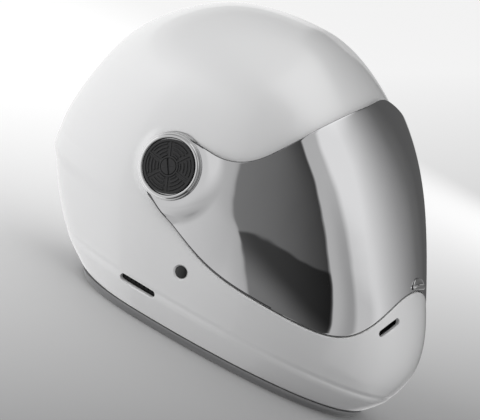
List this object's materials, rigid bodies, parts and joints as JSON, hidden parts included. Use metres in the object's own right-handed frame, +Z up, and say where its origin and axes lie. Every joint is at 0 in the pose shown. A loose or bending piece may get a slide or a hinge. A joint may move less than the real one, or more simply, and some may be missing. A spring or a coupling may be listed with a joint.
{
  "type": "full face helmet",
  "caption": "Full face helmet: smooth shell with chin bar, flip-up mirrored visor on side pivots, foam liner, comfort pads, chin strap with D rings.",
  "frame": {"origin": "centre of the base's bounding box, on the plane the helmet stands on", "axes": "+Z up, front of the helmet faces -Y, wearer's left is +X"},
  "size_m": [0.2534, 0.3395, 0.252],
  "materials": {
    "shell_gloss": "pearl white gloss paint",
    "trim_rubber": "satin grey edge trim",
    "gasket_rubber": "matt",
    "foam": "expanded polystyrene, beaded",
    "pad_fabric": "brushed knit over soft foam",
    "plate_plastic": "moulded",
    "steel": "plain",
    "disc_plastic": "satin charcoal",
    "rivet_black": "satin black",
    "webbing": "woven",
    "mesh_plastic": "moulded",
    "lens_mirror": "silver mirror coating on a tinted lens",
    "ring_bright": "bright"
  },
  "bodies": {
    "helmet": {"outer_shell": "shell_gloss", "edge_trim": "trim_rubber", "port_gasket": "gasket_rubber", "crown_foam": "foam", "chin_foam": "foam", "cheek_foam_right": "foam", "cheek_foam_left": "foam", "crown_pad": "pad_fabric", "brow_pad": "pad_fabric", "rear_pad": "pad_fabric", "temple_pad_right": "pad_fabric", "temple_pad_left": "pad_fabric", "cheek_pad_right": "pad_fabric", "cheek_pad_left": "pad_fabric", "neck_roll": "pad_fabric", "base_plate_right": "plate_plastic", "base_plate_left": "plate_plastic", "click_spring_right": "steel", "click_spring_left": "steel", "plate_screw_right_front": "steel", "plate_screw_right_rear": "steel", "plate_screw_left_front": "steel", "plate_screw_left_rear": "steel", "cover_disc_right": "disc_plastic", "cover_disc_left": "disc_plastic", "strap_rivet_right": "rivet_black", "strap_rivet_left": "rivet_black", "anchor_plate_right": "steel", "anchor_plate_left": "steel", "chin_strap_right": "webbing", "chin_strap_left": "webbing", "vent_mesh_right": "mesh_plastic", "vent_mesh_left": "mesh_plastic", "side_mesh_right": "mesh_plastic", "side_mesh_left": "mesh_plastic"},
    "visor": {"visor_lens": "lens_mirror", "visor_tab": "mesh_plastic", "hub_ring_right": "ring_bright", "hub_ring_left": "ring_bright"},
    "lock_right": {"lock_screw_right": "disc_plastic"},
    "lock_left": {"lock_screw_left": "disc_plastic"},
    "ring_upper": {"d_ring_upper": "steel"},
    "ring_lower": {"d_ring_lower": "steel"}
  },
  "joints": [
    {"name": "visor_hinge", "type": "hinge", "parent": "helmet", "child": "visor", "pos_m": [0, 0.031, 0.118], "axis": [-1, 0, 0], "range_deg": [0, 36]},
    {"name": "lock_turn_right", "type": "hinge", "parent": "helmet", "child": "lock_right", "pos_m": [-0.12, 0.031, 0.118], "axis": [-1, 0, 0], "range_deg": [0, 90]},
    {"name": "lock_turn_left", "type": "hinge", "parent": "helmet", "child": "lock_left", "pos_m": [0.12, 0.031, 0.118], "axis": [1, 0, 0], "range_deg": [0, 90]},
    {"name": "ring_swing_upper", "type": "hinge", "parent": "helmet", "child": "ring_upper", "pos_m": [-0.015, -0.0084, 0.0084], "axis": [0, -1, 0], "range_deg": [0, 75]},
    {"name": "ring_swing_lower", "type": "hinge", "parent": "helmet", "child": "ring_lower", "pos_m": [-0.015, -0.0084, 0.0084], "axis": [0, -1, 0], "range_deg": [0, 75]}
  ],
  "couplings": [
    {"joint": "ring_swing_lower", "follows": "ring_swing_upper", "ratio": 1}
  ]
}
